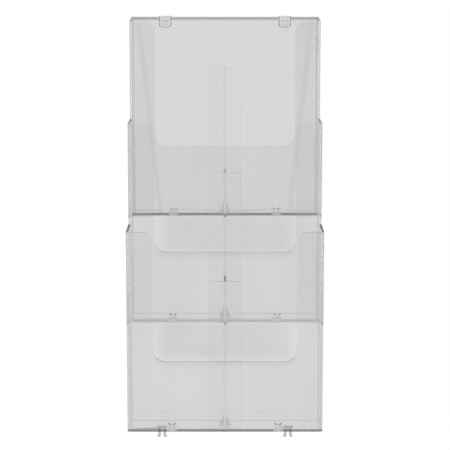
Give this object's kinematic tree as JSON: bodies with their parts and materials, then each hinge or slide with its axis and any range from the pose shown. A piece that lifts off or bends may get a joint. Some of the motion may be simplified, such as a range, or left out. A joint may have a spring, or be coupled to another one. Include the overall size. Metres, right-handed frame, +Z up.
{
  "type": "brochure rack",
  "caption": "Wall-hung clear plastic brochure rack: stepped pockets with dipped fronts, lift-out T-shaped dividers, rim hooks over the wall screws and stacking forks below.",
  "frame": {"origin": "midway between the two wall-screw holes, on the wall plane that the rack's back lies on", "axes": "+X to the rack's right as seen from the front, +Y into the wall, +Z up"},
  "size_m": [0.235, 0.132, 0.5077],
  "materials": {
    "clear_moulding": "glossy, clear, injection moulded",
    "clear_divider": "glossy, clear, injection moulded",
    "clear_clip": "glossy, clear, injection moulded"
  },
  "bodies": {
    "rack": {"top_pocket": "clear_moulding", "top_left_link_clip": "clear_clip", "top_right_link_clip": "clear_clip", "middle_pocket": "clear_moulding", "middle_left_link_clip": "clear_clip", "middle_right_link_clip": "clear_clip", "bottom_pocket": "clear_moulding", "bottom_left_link_clip": "clear_clip", "bottom_right_link_clip": "clear_clip", "left_hanger_clip": "clear_clip", "left_stack_fork": "clear_clip", "right_hanger_clip": "clear_clip", "right_stack_fork": "clear_clip"},
    "top_divider": {"top_divider": "clear_divider"},
    "middle_divider": {"middle_divider": "clear_divider"},
    "bottom_divider": {"bottom_divider": "clear_divider"}
  },
  "joints": [
    {"name": "top_divider_lift", "type": "slide", "parent": "rack", "child": "top_divider", "axis": [0, 0, 1], "range_m": [0, 0.25]},
    {"name": "middle_divider_lift", "type": "slide", "parent": "rack", "child": "middle_divider", "axis": [0, 0, 1], "range_m": [0, 0.25]},
    {"name": "bottom_divider_lift", "type": "slide", "parent": "rack", "child": "bottom_divider", "axis": [0, 0, 1], "range_m": [0, 0.25]}
  ]
}
